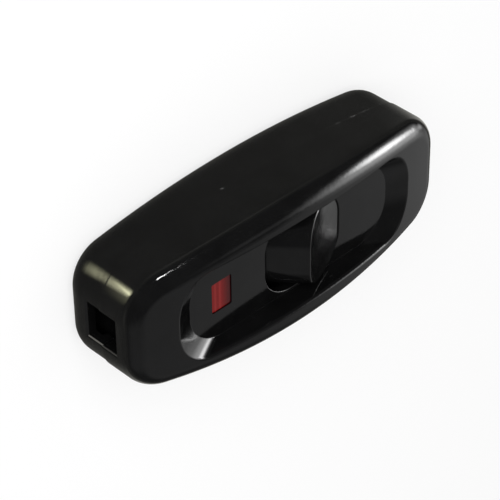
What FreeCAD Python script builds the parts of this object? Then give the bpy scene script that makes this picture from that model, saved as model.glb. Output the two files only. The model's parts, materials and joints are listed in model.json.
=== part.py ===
import FreeCAD, Part
import math
import os

# An inline cord switch: two moulded shells, a rocker in a long front recess, a red pilot lens
# and the switch works between them. X runs along the cord, Z rises from the flat rear face.
# All lengths are in millimetres and all angles in degrees.

# Housing
BODY_LENGTH = 84.0
BODY_WIDTH = 32.4
BODY_END_WIDTH = 24.2
BODY_HEIGHT = 24.4
FRONT_BOW = 4.6
PLAN_CORNER = 9.4
FRONT_EDGE = 3.9
REAR_EDGE = 5.2
FRONT_SHELL_HEIGHT = 13.4
PARTING_STEP = 0.2
WALL = 2.2
LIP_HEIGHT = 1.2
LIP_WALL = 1.0
LIP_ROOT = 2.0
LIP_GAP = 0.1
INLET_WIDTH = 8.4
INLET_HEIGHT = 8.2
INLET_EDGE = 0.4

# Recess in the front face
RECESS_DEPTH = 4.6
RECESS_END_MARGIN = 14.9
RECESS_WIDTH = 19.6
RECESS_CORNER = 8.6
RECESS_SIDE_DRAFT = 9.0
RECESS_END_SLOPE = 24.0
RECESS_WALL = 1.8
RECESS_FLOOR_RADIUS = 0.2
RIM_RADIUS = 0.7

# Rocker, measured in its level position from its pivot
ROCKER_STEP = 22.0
ROCKER_LENGTH = 20.0
ROCKER_WIDTH = 18.0
ROCKER_TILT = 21.2
ROCKER_CORNER = 6.4
ROCKER_DISH = 0.5
ROCKER_EDGE = 0.35
ROCKER_WALL = 1.6
PIVOT_DEPTH = 6.7
SKIRT_LEVEL = 0.3
WINDOW_GAP = 0.25
WINDOW_CORNER_EASE = 0.6
WINDOW_EDGE = 0.2
TRUNNION_RADIUS = 1.6
TRUNNION_GAP = 0.08
TRUNNION_END_GAP = 0.15
LUG_RADIUS = 3.0
CHEEK = 1.8
CHEEK_GAP = 0.45
CHEEK_LENGTH = 8.0
POST_GAP = 0.2

# Spring plunger in the rocker's stem
STEM_RADIUS = 2.6
PLUNGER_RADIUS = 1.5
PLUNGER_GAP = 0.06
PLUNGER_SHOW = 2.4
PLUNGER_TOP = -1.0
TIP_GAP = 0.32
SPIGOT_RADIUS = 0.7
SPIGOT_LENGTH = 1.4
BORE_TOP = 6.0
SPRING_WIRE = 0.4
SPRING_TURNS = 6

# Live parts
SEAT_RISE = 0.8
SHEET = 0.8
STRIP_WIDTH = 6.4
FULCRUM_RISE = 1.0
EAR_RISE = 2.6
EAR_WIDTH = 1.0
EAR_GAP = 0.15
ARM_WIDTH = 6.0
ARM_ANGLE = 19.0
ARM_BEND = 4.5
ARM_END_GAP = 0.5
ARM_TILT = 6.0
ARM_LIFT = 0.05
ARM_CORNER = 1.2
CONTACT_SET_BACK = 1.8
CONTACT_RADIUS = 1.5
CONTACT_RIM = 0.5
CONTACT_DOME = 0.3
CONTACT_GAP = 0.05
RIVET_RADIUS = 0.8
UPSET_RADIUS = 1.2
UPSET_HEIGHT = 0.4
STOP_SET_BACK = 1.0
STOP_RADIUS = 1.1
STOP_GAP = 0.05
PEG_GAP = 0.1
PILLAR = 6.0
PILLAR_HEIGHT = 4.6
PILLAR_GAP = 1.2
TERMINAL_BORE = 1.4
TERMINAL_BORE_RISE = 2.0
TAB_WIDTH = 5.0
NEUTRAL_WIDTH = 5.0
NEUTRAL_LENGTH = 12.6
NEUTRAL_SET_IN = 6.8
NEUTRAL_CLEARANCE = 1.5

# Screws
SCREW_RADIUS = 1.5
SCREW_GAP = 0.04
SCREW_PASS_GAP = 0.2
HEAD_RADIUS = 2.3
HEAD_HEIGHT = 1.4
SLOT_WIDTH = 0.6
SLOT_DEPTH = 0.6
HOUSING_SCREW_STEP = 6.4
HOUSING_SCREW_Y = 7.4
HOUSING_BOSS = 3.2
HOUSING_HEAD_DEPTH = 1.2
HEAD_POCKET_GAP = 0.3
THREAD_END_GAP = 1.2

# Cord clamps
CLAMP_SET_BACK = 8.0
CLAMP_SPAN = 7.0
CLAMP_BOSS = 2.6
CLAMP_WIDTH = 5.2
CLAMP_BAR = 2.0
CLAMP_RISE = 3.2
CLAMP_RIB = 1.2
CLAMP_RIB_DROP = 0.8
SADDLE_DROP = 3.6
THREAD_DEPTH = 7.0

# Pilot light
LENS_SET_BACK = 8.4
LENS_LENGTH = 5.2
LENS_WIDTH = 7.2
LENS_CORNER = 0.4
LENS_GAP = 0.08
LENS_INSET = 0.25
LENS_FLANGE = 0.8
LENS_FLANGE_RIM = 0.9
LAMP_GAP = 0.2
LAMP_RADIUS = 2.5
LAMP_LENGTH = 12.0
LAMP_GLASS = 0.45
ELECTRODE_RADIUS = 0.35
ELECTRODE_SPACING = 1.7
ELECTRODE_LENGTH = 9.4
CRADLE = 1.4
CRADLE_SPACING = 8.4
CRADLE_GAP = 0.06
CRADLE_CHEEK = 0.6
RESISTOR_WAIST = 1.0
RESISTOR_CAP = 1.3
RESISTOR_LENGTH = 6.5
RESISTOR_CAP_LENGTH = 1.3
RESISTOR_CLEARANCE = 0.3
RESISTOR_Z = 7.0
LEAD_RADIUS = 0.4
LEAD_BEND = 1.0
LEAD_STAND_OFF = 2.2
LEAD_ENTRY = 1.2
LOAD_LEAD_Y = 7.4

Vec = FreeCAD.Vector
ORIGIN = Vec(0, 0, 0)
Y_AXIS = Vec(0, 1, 0)
Z_AXIS = Vec(0, 0, 1)
BOTH_SIDES = (-1, 1)
TOLERANCE = 1e-6


def sine(angle):
    return math.sin(math.radians(angle))


def cosine(angle):
    return math.cos(math.radians(angle))


def tangent(angle):
    return math.tan(math.radians(angle))


# Levels above the rear face
PARTING_HEIGHT = BODY_HEIGHT - FRONT_SHELL_HEIGHT
FLOOR_TOP = BODY_HEIGHT - RECESS_DEPTH
FLOOR_UNDER = FLOOR_TOP - RECESS_WALL
PIVOT_Z = FLOOR_TOP - PIVOT_DEPTH
SEAT_Z = WALL + SEAT_RISE
STRIP_TOP = SEAT_Z + SHEET
FULCRUM_Z = STRIP_TOP + FULCRUM_RISE
PILLAR_TOP = STRIP_TOP + PILLAR_HEIGHT
CLAMP_SEAT = PARTING_HEIGHT + CLAMP_RISE
LAMP_Z = FLOOR_UNDER - LENS_FLANGE - LAMP_GAP - LAMP_RADIUS

# Places along the cord, taken from the ends of the housing and of the recess
RECESS_LENGTH = BODY_LENGTH - 2 * RECESS_END_MARGIN
LENS_X = LENS_SET_BACK - RECESS_LENGTH / 2
ROCKER_X = LENS_X + ROCKER_STEP
CLAMP_X = BODY_LENGTH / 2 - CLAMP_SET_BACK
HOUSING_SCREW_X = CLAMP_X - HOUSING_SCREW_STEP

# Rocker outline in its level position: an end wall stands upright when its end is pressed
HALF_ROCKER = ROCKER_LENGTH / 2
ROCKER_TOP = HALF_ROCKER * sine(ROCKER_TILT) + PIVOT_DEPTH * cosine(ROCKER_TILT)
TOP_HALF = HALF_ROCKER * cosine(ROCKER_TILT) - PIVOT_DEPTH * sine(ROCKER_TILT)
SKIRT_HALF = (HALF_ROCKER - SKIRT_LEVEL * sine(ROCKER_TILT)) / cosine(ROCKER_TILT)
ROCKER_SWEEP = math.hypot(SKIRT_HALF, SKIRT_LEVEL)
CHEEK_Y = ROCKER_WIDTH / 2 + CHEEK_GAP
PIVOT = Vec(ROCKER_X, 0, PIVOT_Z)
FULCRUM = Vec(ROCKER_X, 0, FULCRUM_Z)

# Contact arm measured from its fulcrum
ARM_REACH = HALF_ROCKER - ROCKER_WALL - ARM_END_GAP
CONTACT_REACH = ARM_REACH - CONTACT_SET_BACK
STOP_REACH = ARM_REACH - STOP_SET_BACK
ARM_TOP = ARM_LIFT + SHEET / cosine(ARM_ANGLE)
WING_UNDER = ARM_LIFT + ARM_BEND * tangent(ARM_ANGLE)
TOP_BEND = ARM_BEND - SHEET * (1 / cosine(ARM_ANGLE) - 1) / tangent(ARM_ANGLE)
PLUNGER_REACH = PIVOT_Z - FULCRUM_Z - ARM_TOP - TIP_GAP
STEM_REACH = PLUNGER_REACH - PLUNGER_SHOW
CONTACT_DEPTH = CONTACT_RIM + CONTACT_DOME
DOME_RADIUS = (CONTACT_RADIUS ** 2 + CONTACT_DOME ** 2) / (2 * CONTACT_DOME)
DOME_CENTRE = WING_UNDER - CONTACT_DEPTH + DOME_RADIUS
FIXED_X = ROCKER_X + CONTACT_REACH * cosine(ARM_TILT) + DOME_CENTRE * sine(ARM_TILT)
CLOSED_DROP = DOME_CENTRE * cosine(ARM_TILT) - CONTACT_REACH * sine(ARM_TILT) - DOME_RADIUS
FIXED_TOP = FULCRUM_Z + CLOSED_DROP - CONTACT_GAP
STOP_X = ROCKER_X - STOP_REACH
STOP_SLOPE = (STOP_REACH + STOP_RADIUS) * tangent(ARM_TILT)
STOP_TOP = FULCRUM_Z + WING_UNDER / cosine(ARM_TILT) - STOP_SLOPE - STOP_GAP

# Places of the terminals and screws in plan
NEUTRAL_Y = NEUTRAL_SET_IN - BODY_WIDTH / 2
PILLAR_OFFSET = ROCKER_SWEEP + PILLAR_GAP + PILLAR / 2
LINE_PILLAR_X = ROCKER_X - PILLAR_OFFSET
LOAD_PILLAR_X = ROCKER_X + PILLAR_OFFSET
NEUTRAL_END = ROCKER_X - LUG_RADIUS - NEUTRAL_CLEARANCE
NEUTRAL_START = NEUTRAL_END - NEUTRAL_LENGTH
NEUTRAL_SCREWS = (NEUTRAL_START + PILLAR / 2, NEUTRAL_END - PILLAR / 2)
TERMINAL_BORE_Z = STRIP_TOP + TERMINAL_BORE_RISE
RESISTOR_X = LENS_X - LAMP_RADIUS - CRADLE_CHEEK - RESISTOR_CAP - RESISTOR_CLEARANCE
HOUSING_SCREWS = ((-HOUSING_SCREW_X, HOUSING_SCREW_Y), (HOUSING_SCREW_X, -HOUSING_SCREW_Y))
POCKET_DEPTH = HOUSING_HEAD_DEPTH + HEAD_HEIGHT
HOUSING_THREAD_TOP = FLOOR_UNDER - THREAD_END_GAP


def block(x_low, x_high, y_low, y_high, z_low, z_high):
    """A box between two limits on each axis."""
    size = Vec(x_high - x_low, y_high - y_low, z_high - z_low)
    return Part.makeBox(size.x, size.y, size.z, Vec(x_low, y_low, z_low))


def rod(radius, start, end):
    """A round bar between two points."""
    axis = end - start
    return Part.makeCylinder(radius, axis.Length, start, axis)


def line(start, end):
    return Part.LineSegment(start, end).toShape()


def polygon(points):
    """A flat face through the given corners."""
    return Part.Face(Part.makePolygon(points + points[:1]))


def turned(points):
    """A solid turned about the Z axis from (radius, height) corners."""
    profile = polygon([Vec(radius, 0, height) for radius, height in points])
    return profile.revolve(ORIGIN, Z_AXIS, 360)


def fused(shapes):
    """The pieces joined into one clean solid."""
    return shapes[0].multiFuse(shapes[1:]).removeSplitter()


def corner_arc(centre, radius, start_angle):
    """A quarter circle in a level plane, with its two ends."""
    points = []
    for angle in (start_angle, start_angle + 45, start_angle + 90):
        points.append(centre + Vec(radius * cosine(angle), radius * sine(angle), 0))
    return points


def rounded_rectangle(centre_x, half_x, half_y, radius, height):
    """A closed wire of four sides joined by four corner arcs."""
    quarters = []
    for index, (side_x, side_y) in enumerate(((1, 1), (-1, 1), (-1, -1), (1, -1))):
        centre = Vec(centre_x + side_x * (half_x - radius), side_y * (half_y - radius), height)
        quarters.append(corner_arc(centre, radius, 90 * index))
    edges = []
    for index, points in enumerate(quarters):
        edges.append(Part.Arc(*points).toShape())
        edges.append(line(points[2], quarters[(index + 1) % 4][0]))
    return Part.Wire(edges)


def rounded_plug(centre_x, half_x, half_y, radius, low, high):
    """A rounded rectangle raised between two levels."""
    outline = rounded_rectangle(centre_x, half_x, half_y, radius, low)
    return Part.Face(outline).extrude(Vec(0, 0, high - low))


def upright_edges(solid):
    """The straight edges that run along Z."""
    edges = []
    for edge in solid.Edges:
        first, last = edge.Vertexes[0].Point, edge.Vertexes[-1].Point
        across = math.hypot(last.x - first.x, last.y - first.y)
        if across < TOLERANCE and abs(last.z - first.z) > TOLERANCE:
            edges.append(edge)
    return edges


def plan_outline():
    """The housing seen from the front: bowed sides, flat ends and rounded corners."""
    half = BODY_LENGTH / 2
    end = BODY_END_WIDTH / 2
    middle = BODY_WIDTH / 2
    corners = [Vec(-half, -end, 0), Vec(half, -end, 0), Vec(half, end, 0), Vec(-half, end, 0)]
    edges = [
        Part.Arc(corners[0], Vec(0, -middle, 0), corners[1]).toShape(),
        line(corners[1], corners[2]),
        Part.Arc(corners[2], Vec(0, middle, 0), corners[3]).toShape(),
        line(corners[3], corners[0]),
    ]
    raised = Part.Face(Part.Wire(edges)).extrude(Vec(0, 0, BODY_HEIGHT))
    raised = raised.makeFillet(PLAN_CORNER, upright_edges(raised))
    lowest = min(raised.Faces, key=lambda face: face.CenterOfMass.z)
    return lowest.OuterWire


PLAN = plan_outline()


def prism(inset, low, high):
    """The plan outline, drawn in by inset and raised between two levels."""
    outline = PLAN.makeOffset2D(-inset) if inset else PLAN.copy()
    outline.translate(Vec(0, 0, low))
    return Part.Face(outline).extrude(Vec(0, 0, high - low))


def under_front(drop):
    """The space below the bowed front face, lowered by drop."""
    half = BODY_LENGTH / 2
    bow = (half ** 2 + FRONT_BOW ** 2) / (2 * FRONT_BOW)
    reach = half + WALL
    end_height = BODY_HEIGHT - drop - bow + math.sqrt(bow ** 2 - reach ** 2)
    left, right = Vec(-reach, -BODY_WIDTH, end_height), Vec(reach, -BODY_WIDTH, end_height)
    edges = [
        Part.Arc(left, Vec(0, -BODY_WIDTH, BODY_HEIGHT - drop), right).toShape(),
        line(right, Vec(reach, -BODY_WIDTH, 0)),
        line(Vec(reach, -BODY_WIDTH, 0), Vec(-reach, -BODY_WIDTH, 0)),
        line(Vec(-reach, -BODY_WIDTH, 0), left),
    ]
    return Part.Face(Part.Wire(edges)).extrude(Vec(0, 2 * BODY_WIDTH, 0))


def recess(widen, deepen):
    """The recess as a solid: steep long sides and shallow ramps at the ends."""
    floor = FLOOR_TOP - deepen
    top = BODY_HEIGHT + WALL
    rise = top - floor
    half_x = RECESS_LENGTH / 2
    half_y = RECESS_WIDTH / 2 + widen
    corner = RECESS_CORNER + widen
    spread = rise * tangent(RECESS_SIDE_DRAFT)
    lower = rounded_rectangle(0, half_x, half_y, corner, floor)
    ramp = rise / tangent(RECESS_END_SLOPE)
    upper = rounded_rectangle(0, half_x + ramp, half_y + spread, corner + spread, top)
    return Part.makeLoft([lower, upper], True, True)


def rounded_recess():
    """The recess as it is seen, with a small radius round its floor."""
    solid = recess(0, 0)
    lowest = min(solid.Faces, key=lambda face: face.CenterOfMass.z)
    return solid.makeFillet(RECESS_FLOOR_RADIUS, lowest.OuterWire.Edges)


def inlet_outline(x, widen):
    """The square of a cord inlet at a place along the cord, widened on every side."""
    half_y = INLET_WIDTH / 2 + widen
    half_z = INLET_HEIGHT / 2 + widen
    corners = []
    for side_y, side_z in ((-1, -1), (1, -1), (1, 1), (-1, 1)):
        corners.append(Vec(x, side_y * half_y, PARTING_HEIGHT + side_z * half_z))
    return Part.makePolygon(corners + corners[:1])


def cord_inlets(inset):
    """The square opening for the cord at each end, bevelled where it meets an end face set in by inset."""
    cuts = []
    depth = WALL + PARTING_STEP + LIP_GAP + LIP_WALL + WALL
    for side in BOTH_SIDES:
        face = side * (BODY_LENGTH / 2 - inset)
        bottom = inlet_outline(side * (BODY_LENGTH / 2 - depth), 0)
        throat = inlet_outline(face - side * INLET_EDGE, 0)
        mouth = inlet_outline(face + side * INLET_EDGE, 2 * INLET_EDGE)
        cuts.append(Part.makeLoft([bottom, throat, mouth], True, True))
    return cuts


def front_outside():
    """The outer form of the front shell, with its recess and rounded rim."""
    solid = prism(0, PARTING_HEIGHT, BODY_HEIGHT + WALL).common(under_front(0))
    face = max(solid.Faces, key=lambda item: item.CenterOfMass.z)
    solid = solid.makeFillet(FRONT_EDGE, face.OuterWire.Edges)
    solid = solid.cut(rounded_recess())
    face = max(solid.Faces, key=lambda item: item.BoundBox.ZMax)
    rim = min(face.Wires, key=lambda wire: wire.BoundBox.YLength)
    return solid.makeFillet(RIM_RADIUS, rim.Edges)


def bearing_cheeks():
    """Two cheeks under the recess floor that hang over the rocker's trunnions."""
    cheeks = []
    low = PARTING_HEIGHT + LIP_GAP
    seat = TRUNNION_RADIUS + TRUNNION_GAP
    for side in BOTH_SIDES:
        near, far = sorted((side * CHEEK_Y, side * (CHEEK_Y + CHEEK)))
        half = CHEEK_LENGTH / 2
        cheek = block(ROCKER_X - half, ROCKER_X + half, near, far, low, FLOOR_UNDER)
        slot = block(ROCKER_X - seat, ROCKER_X + seat, near, far, low, PIVOT_Z)
        round_end = rod(seat, Vec(ROCKER_X, near, PIVOT_Z), Vec(ROCKER_X, far, PIVOT_Z))
        cheeks.append(cheek.cut(slot).cut(round_end))
    return cheeks


def window_rim(shell, half_x, half_y):
    """The edges of the rocker window at the level of the recess floor."""
    rim = []
    for edge in shell.Edges:
        box = edge.BoundBox
        level = max(abs(box.ZMin - FLOOR_TOP), abs(box.ZMax - FLOOR_TOP)) < WINDOW_GAP / 2
        reach_x = max(abs(box.XMin - ROCKER_X), abs(box.XMax - ROCKER_X))
        reach_y = max(abs(box.YMin), abs(box.YMax))
        if level and reach_x < half_x + WINDOW_GAP / 2 and reach_y < half_y + WINDOW_GAP / 2:
            rim.append(edge)
    return rim


def front_shell():
    """The front half: shelled under the face, with rocker and lens windows and screw bosses."""
    hollow = prism(WALL, PARTING_HEIGHT, BODY_HEIGHT).common(under_front(WALL))
    hollow = hollow.cut(recess(WALL, RECESS_WALL))
    bosses = []
    for x, y in HOUSING_SCREWS:
        bosses.append(rod(HOUSING_BOSS, Vec(x, y, PARTING_HEIGHT), Vec(x, y, FLOOR_UNDER)))
    shell = fused([front_outside().cut(hollow)] + bosses + bearing_cheeks())
    half_x = HALF_ROCKER + WINDOW_GAP
    half_y = ROCKER_WIDTH / 2 + WINDOW_GAP
    corner = ROCKER_CORNER + WINDOW_CORNER_EASE
    cuts = cord_inlets(0)
    cuts.append(rounded_plug(ROCKER_X, half_x, half_y, corner, PIVOT_Z + LUG_RADIUS, BODY_HEIGHT))
    cuts.append(rounded_plug(LENS_X, LENS_LENGTH / 2, LENS_WIDTH / 2, LENS_CORNER, PIVOT_Z, BODY_HEIGHT))
    for x, y in HOUSING_SCREWS:
        thread = SCREW_RADIUS + SCREW_GAP
        cuts.append(rod(thread, Vec(x, y, 0), Vec(x, y, HOUSING_THREAD_TOP)))
    shell = shell.cut(cuts)
    return shell.makeFillet(WINDOW_EDGE, window_rim(shell, half_x, half_y))


def rear_tray():
    """The rear half as a plain tray with a locating lip."""
    outside = prism(PARTING_STEP, 0, PARTING_HEIGHT)
    lowest = min(outside.Faces, key=lambda face: face.CenterOfMass.z)
    outside = outside.makeFillet(REAR_EDGE, lowest.OuterWire.Edges)
    inside = prism(PARTING_STEP + WALL, WALL, PARTING_HEIGHT + WALL)
    lowest = min(inside.Faces, key=lambda face: face.CenterOfMass.z)
    inside = inside.makeFillet(REAR_EDGE - WALL, lowest.OuterWire.Edges)
    lip_low, lip_high = PARTING_HEIGHT - LIP_ROOT, PARTING_HEIGHT + LIP_HEIGHT
    lip = prism(WALL + LIP_GAP, lip_low, lip_high)
    lip = lip.cut(prism(WALL + LIP_GAP + LIP_WALL, lip_low, lip_high))
    return outside.cut(inside).fuse(lip)


def notched_post(x, y, half_x, thickness, axis_z, radius, top):
    """An upright rib whose top is notched for a round part lying along Y."""
    low, high = y - thickness / 2, y + thickness / 2
    post = block(x - half_x, x + half_x, low, high, WALL / 2, top)
    return post.cut(rod(radius, Vec(x, low, axis_z), Vec(x, high, axis_z)))


def trunnion_posts():
    """Posts that close the bearing slots from below."""
    posts = []
    seat = TRUNNION_RADIUS + TRUNNION_GAP
    for side in BOTH_SIDES:
        y = side * (CHEEK_Y + CHEEK / 2)
        posts.append(notched_post(ROCKER_X, y, seat - POST_GAP, CHEEK, PIVOT_Z, seat, PIVOT_Z))
    return posts


def lamp_cradles():
    """Ribs that carry the lamp and the resistor."""
    ribs = []
    half = LAMP_RADIUS + CRADLE_CHEEK
    for side in BOTH_SIDES:
        y = side * CRADLE_SPACING / 2
        ribs.append(notched_post(LENS_X, y, half, CRADLE, LAMP_Z, LAMP_RADIUS + CRADLE_GAP, LAMP_Z))
    half = RESISTOR_CAP + CRADLE_CHEEK / 2
    notch = RESISTOR_WAIST + CRADLE_GAP
    ribs.append(notched_post(RESISTOR_X, 0, half, CRADLE, RESISTOR_Z, notch, RESISTOR_Z))
    return ribs


def strip_seats():
    """Low pads under the live strips and the neutral block."""
    half = STRIP_WIDTH / 2
    low = WALL / 2
    seats = []
    for x in (LINE_PILLAR_X, LOAD_PILLAR_X):
        seats.append(block(x - PILLAR / 2, x + PILLAR / 2, -half, half, low, SEAT_Z))
    seats.append(block(ROCKER_X - SHEET, ROCKER_X + SHEET, -half, half, low, SEAT_Z))
    half = NEUTRAL_WIDTH / 2
    for x in NEUTRAL_SCREWS:
        seats.append(block(x - half, x + half, NEUTRAL_Y - half, NEUTRAL_Y + half, low, STRIP_TOP))
    seats.append(rod(STOP_RADIUS, Vec(STOP_X, 0, low), Vec(STOP_X, 0, STOP_TOP)))
    return seats


def clamp_supports():
    """Screw bosses and a saddle rib for the cord at each end."""
    supports = []
    low = WALL / 2
    for side in BOTH_SIDES:
        x = side * CLAMP_X
        for y in (-CLAMP_SPAN, CLAMP_SPAN):
            supports.append(rod(CLAMP_BOSS, Vec(x, y, low), Vec(x, y, CLAMP_SEAT)))
        half = INLET_WIDTH / 2
        rib = block(x - CLAMP_RIB, x + CLAMP_RIB, -half, half, low, PARTING_HEIGHT - SADDLE_DROP)
        supports.append(rib)
    return supports


def rear_shell():
    """The rear half with everything that seats the works, and the pockets for the housing screws."""
    bosses = []
    cuts = cord_inlets(PARTING_STEP)
    for x, y in HOUSING_SCREWS:
        bosses.append(rod(HOUSING_BOSS, Vec(x, y, WALL / 2), Vec(x, y, PARTING_HEIGHT)))
        cuts.append(rod(HEAD_RADIUS + HEAD_POCKET_GAP, Vec(x, y, 0), Vec(x, y, POCKET_DEPTH)))
        cuts.append(rod(SCREW_RADIUS + SCREW_PASS_GAP, Vec(x, y, 0), Vec(x, y, PARTING_HEIGHT)))
        lip_top = PARTING_HEIGHT + LIP_HEIGHT
        cuts.append(rod(HOUSING_BOSS + LIP_GAP, Vec(x, y, PARTING_HEIGHT), Vec(x, y, lip_top)))
    for side in BOTH_SIDES:
        for y in (-CLAMP_SPAN, CLAMP_SPAN):
            foot = Vec(side * CLAMP_X, y, CLAMP_SEAT - THREAD_DEPTH)
            cuts.append(rod(SCREW_RADIUS + SCREW_GAP, foot, foot + Vec(0, 0, THREAD_DEPTH)))
    solids = [rear_tray()] + bosses + trunnion_posts() + lamp_cradles() + strip_seats() + clamp_supports()
    return fused(solids).cut(cuts)


def rocker_wedge(inset):
    """The rocker's outer form in its level position, drawn in by inset."""
    shrink = inset / cosine(ROCKER_TILT)
    drop = inset * tangent(ROCKER_TILT)
    top = ROCKER_TOP - inset
    top_half = TOP_HALF - shrink + drop
    foot_half = SKIRT_HALF - shrink
    half_width = ROCKER_WIDTH / 2 - inset
    left, right = Vec(-top_half, -half_width, top), Vec(top_half, -half_width, top)
    edges = [
        Part.Arc(left, Vec(0, -half_width, top - ROCKER_DISH), right).toShape(),
        line(right, Vec(foot_half, -half_width, SKIRT_LEVEL)),
        line(Vec(foot_half, -half_width, SKIRT_LEVEL), Vec(-foot_half, -half_width, SKIRT_LEVEL)),
        line(Vec(-foot_half, -half_width, SKIRT_LEVEL), left),
    ]
    wedge = Part.Face(Part.Wire(edges)).extrude(Vec(0, 2 * half_width, 0))
    corners = []
    for edge in wedge.Edges:
        first, last = edge.Vertexes[0].Point, edge.Vertexes[-1].Point
        if abs(first.y - last.y) < TOLERANCE and abs(first.z - last.z) > TOLERANCE:
            corners.append(edge)
    return wedge.makeFillet(ROCKER_CORNER - inset, corners)


def placed_on_rocker(shape):
    """A piece drawn from the pivot, tipped to the position at rest."""
    shape.rotate(ORIGIN, Y_AXIS, ROCKER_TILT)
    shape.translate(PIVOT)
    return shape


def rocker():
    """The moulded rocker: hollow wedge, two trunnions and a bored stem."""
    wedge = rocker_wedge(0)
    crown = max(wedge.Faces, key=lambda face: face.CenterOfMass.z)
    wedge = wedge.makeFillet(ROCKER_EDGE, crown.OuterWire.Edges)
    shell = wedge.cut(rocker_wedge(ROCKER_WALL))
    ceiling = ROCKER_TOP - ROCKER_DISH - ROCKER_WALL / 2
    parts = [shell, rod(STEM_RADIUS, Vec(0, 0, -STEM_REACH), Vec(0, 0, ceiling))]
    side_y = ROCKER_WIDTH / 2
    trunnion_y = CHEEK_Y + CHEEK - TRUNNION_END_GAP
    for side in BOTH_SIDES:
        inner = Vec(0, side * (side_y - ROCKER_WALL), 0)
        parts.append(rod(LUG_RADIUS, inner, Vec(0, side * side_y, 0)))
        parts.append(rod(TRUNNION_RADIUS, inner, Vec(0, side * trunnion_y, 0)))
    bore = rod(PLUNGER_RADIUS + PLUNGER_GAP, Vec(0, 0, -STEM_REACH), Vec(0, 0, BORE_TOP))
    return placed_on_rocker(fused(parts).cut(bore))


def plunger():
    """The round-nosed plunger with a spigot for its spring."""
    nose_z = PLUNGER_RADIUS - PLUNGER_REACH
    body = rod(PLUNGER_RADIUS, Vec(0, 0, nose_z), Vec(0, 0, PLUNGER_TOP))
    nose = Part.makeSphere(PLUNGER_RADIUS, Vec(0, 0, nose_z))
    spigot = rod(SPIGOT_RADIUS, Vec(0, 0, PLUNGER_TOP), Vec(0, 0, PLUNGER_TOP + SPIGOT_LENGTH))
    return placed_on_rocker(fused([body, nose, spigot]))


def plunger_spring():
    """The coil spring between the plunger and the end of the stem's bore."""
    half_wire = SPRING_WIRE / 2
    radius = PLUNGER_RADIUS - half_wire
    height = BORE_TOP - PLUNGER_TOP - SPRING_WIRE
    helix = Part.makeHelix(height / SPRING_TURNS, height, radius)
    section = Part.Wire(Part.makeCircle(half_wire, Vec(radius, 0, 0), Y_AXIS))
    coil = Part.Wire(helix.Edges).makePipeShell([section], True, True)
    coil.translate(Vec(0, 0, PLUNGER_TOP + half_wire))
    return placed_on_rocker(coil)


def placed_on_arm(shape):
    """A piece drawn from the fulcrum, tipped to the open position at rest."""
    shape.rotate(ORIGIN, Y_AXIS, -ARM_TILT)
    shape.translate(FULCRUM)
    return shape


def contact_arm():
    """The see-saw strip: a shallow V that bends out into two level wings."""
    wing_top = WING_UNDER + SHEET
    right_side = [(0, ARM_LIFT), (ARM_BEND, WING_UNDER), (ARM_REACH, WING_UNDER)]
    right_side += [(ARM_REACH, wing_top), (TOP_BEND, wing_top), (0, ARM_TOP)]
    left_side = [(-x, z) for x, z in reversed(right_side[1:5])]
    profile = [Vec(x, -ARM_WIDTH / 2, z) for x, z in right_side + left_side]
    strip = polygon(profile).extrude(Vec(0, ARM_WIDTH, 0))
    ends = [edge for edge in upright_edges(strip) if abs(edge.CenterOfMass.x) > ARM_BEND]
    strip = strip.makeFillet(ARM_CORNER, ends)
    hole = rod(RIVET_RADIUS, Vec(CONTACT_REACH, 0, 0), Vec(CONTACT_REACH, 0, wing_top))
    return placed_on_arm(strip.cut(hole))


def moving_contact():
    """The domed contact riveted under the arm's right wing."""
    top = SHEET + UPSET_HEIGHT
    shank = [(0, -CONTACT_RIM), (CONTACT_RADIUS, -CONTACT_RIM), (CONTACT_RADIUS, 0), (RIVET_RADIUS, 0)]
    upset = [(RIVET_RADIUS, SHEET), (UPSET_RADIUS, SHEET), (UPSET_RADIUS, top), (0, top)]
    dome = Part.makeSphere(DOME_RADIUS, Vec(0, 0, DOME_RADIUS - CONTACT_DEPTH))
    dome = dome.common(rod(CONTACT_RADIUS, Vec(0, 0, -CONTACT_DEPTH), Vec(0, 0, -CONTACT_RIM)))
    rivet = fused([turned(shank + upset), dome])
    rivet.translate(Vec(CONTACT_REACH, 0, WING_UNDER))
    return placed_on_arm(rivet)


def fixed_contact():
    """The flat contact riveted to the load strip."""
    under = SEAT_Z - UPSET_HEIGHT
    profile = [(0, under), (UPSET_RADIUS, under), (UPSET_RADIUS, SEAT_Z), (RIVET_RADIUS, SEAT_Z)]
    profile += [(RIVET_RADIUS, STRIP_TOP), (CONTACT_RADIUS, STRIP_TOP)]
    profile += [(CONTACT_RADIUS, FIXED_TOP), (0, FIXED_TOP)]
    rivet = turned(profile)
    rivet.translate(Vec(FIXED_X, 0, 0))
    return rivet


def line_strip():
    """The incoming strip, bent up at its end into a fulcrum with two guide ears."""
    half = STRIP_WIDTH / 2
    half_sheet = SHEET / 2
    strip = block(LINE_PILLAR_X - PILLAR / 2, ROCKER_X, -half, half, SEAT_Z, STRIP_TOP)
    ear_inner = ARM_WIDTH / 2 + EAR_GAP
    ear_outer = ear_inner + EAR_WIDTH
    ear_top = FULCRUM_Z + EAR_RISE
    left, right = ROCKER_X - half_sheet, ROCKER_X + half_sheet
    upstand = block(left, right, -ear_outer, ear_outer, SEAT_Z, ear_top)
    gap = block(left, right, -ear_inner, ear_inner, FULCRUM_Z, ear_top)
    stop_hole = rod(STOP_RADIUS + PEG_GAP, Vec(STOP_X, 0, SEAT_Z), Vec(STOP_X, 0, STRIP_TOP))
    return fused([strip, upstand]).cut([gap, stop_hole])


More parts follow.
